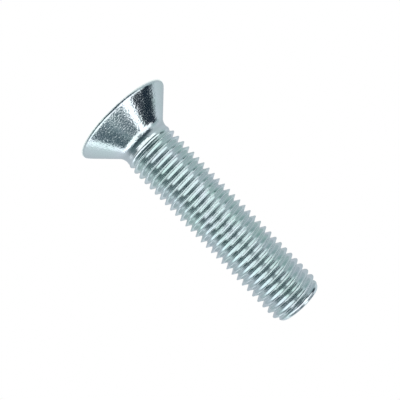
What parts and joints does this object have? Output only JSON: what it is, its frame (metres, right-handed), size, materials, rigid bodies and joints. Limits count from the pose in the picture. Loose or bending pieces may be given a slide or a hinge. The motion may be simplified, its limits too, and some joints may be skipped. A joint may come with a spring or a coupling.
{
  "type": "countersunk socket screw",
  "caption": "Countersunk machine screw with a flat head, a hexagon socket and a metric thread up to the head, in bright zinc-plated steel, standing on its head.",
  "frame": {"origin": "centre of the flat top of the head, which is the face the screw stands on", "axes": "+Z along the screw's axis, from the head to the point; the socket's flats face +Y and -Y"},
  "size_m": [0.0298, 0.0298, 0.0693],
  "materials": {
    "zinc_plated_steel": "bright zinc plate with a clear, faintly blue passivate: a fine satin metal"
  },
  "bodies": {
    "root": {"countersunk_screw": "zinc_plated_steel"}
  },
  "joints": []
}
